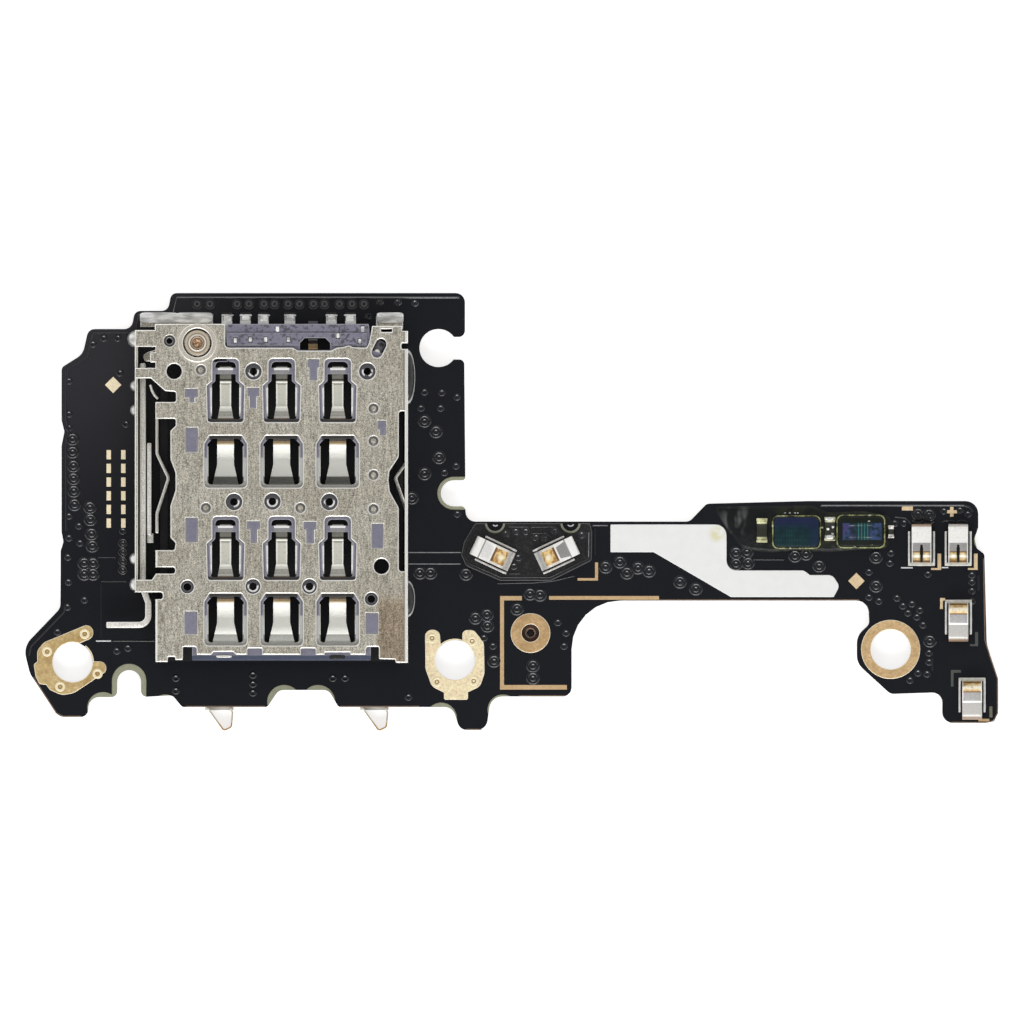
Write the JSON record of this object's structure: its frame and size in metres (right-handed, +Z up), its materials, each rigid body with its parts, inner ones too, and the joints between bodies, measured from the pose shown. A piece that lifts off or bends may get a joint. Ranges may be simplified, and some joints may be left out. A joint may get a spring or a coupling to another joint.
{
  "type": "sim card reader board",
  "caption": "Phone SIM reader board: black circuit board with a two-sided nano-SIM tray socket, lever ejector with push rod, screw holes, spring clips and potted chips.",
  "frame": {"origin": "axis of the centre screw hole at the underside of the board", "axes": "+X along the arm to the clips, +Y from the tray mouth to the back of the socket, +Z up from the board to the cover"},
  "size_m": [0.0441, 0.0198, 0.0032],
  "materials": {
    "laminate": "satin",
    "mask": "satin",
    "gold": "satin",
    "pale_gold": "satin",
    "tin": "satin",
    "insulator": "matte",
    "clip_metal": "polished",
    "resin": "gloss",
    "chip": "gloss",
    "ceramic_chip": "satin",
    "spring_bronze": "satin",
    "black_plastic": "matte",
    "purple_plastic": "matte",
    "contact_metal": "polished",
    "steel": "brushed",
    "rivet_metal": "satin"
  },
  "bodies": {
    "board": {"circuit_board": "laminate", "solder_mask": "mask", "left_screw_pad": "gold", "centre_screw_pad": "pale_gold", "right_screw_pad": "gold", "mic_port_pad": "gold", "gold_marks": "gold", "ground_plate": "tin", "clip_insulator": "insulator", "mic_clip_left": "clip_metal", "mic_clip_right": "clip_metal", "antenna_clip_1": "clip_metal", "antenna_clip_2": "clip_metal", "antenna_clip_3": "clip_metal", "antenna_clip_4": "clip_metal", "potting_resin": "resin", "filter_chip_left": "chip", "filter_chip_right": "chip", "chip_capacitor_1": "ceramic_chip", "chip_capacitor_2": "ceramic_chip", "chip_capacitor_3": "ceramic_chip", "ground_finger_left": "spring_bronze", "ground_finger_right": "spring_bronze", "lower_housing": "black_plastic", "lower_contact_1": "contact_metal", "lower_contact_2": "contact_metal", "lower_contact_3": "contact_metal", "lower_contact_4": "contact_metal", "lower_contact_5": "contact_metal", "lower_contact_6": "contact_metal", "upper_housing": "purple_plastic", "upper_contact_1": "contact_metal", "upper_contact_2": "contact_metal", "upper_contact_3": "contact_metal", "upper_contact_4": "contact_metal", "upper_contact_5": "contact_metal", "upper_contact_6": "contact_metal", "detect_spring": "contact_metal", "socket_cover": "steel", "lever_rivet": "rivet_metal", "rod_guide": "steel", "solder_joints": "tin"},
    "rod": {"push_rod": "steel"},
    "lever": {"eject_lever": "steel"}
  },
  "joints": [
    {"name": "rod_slide", "type": "slide", "parent": "board", "child": "rod", "axis": [0, 1, 0], "range_m": [0, 0.00102]},
    {"name": "lever_turn", "type": "hinge", "parent": "board", "child": "lever", "pos_m": [-0.01167, 0.01436, 0.00175], "axis": [0, 0, -1], "range_deg": [0, 25]}
  ],
  "couplings": [
    {"joint": "lever_turn", "follows": "rod_slide", "rad_per_m": 429.9}
  ]
}
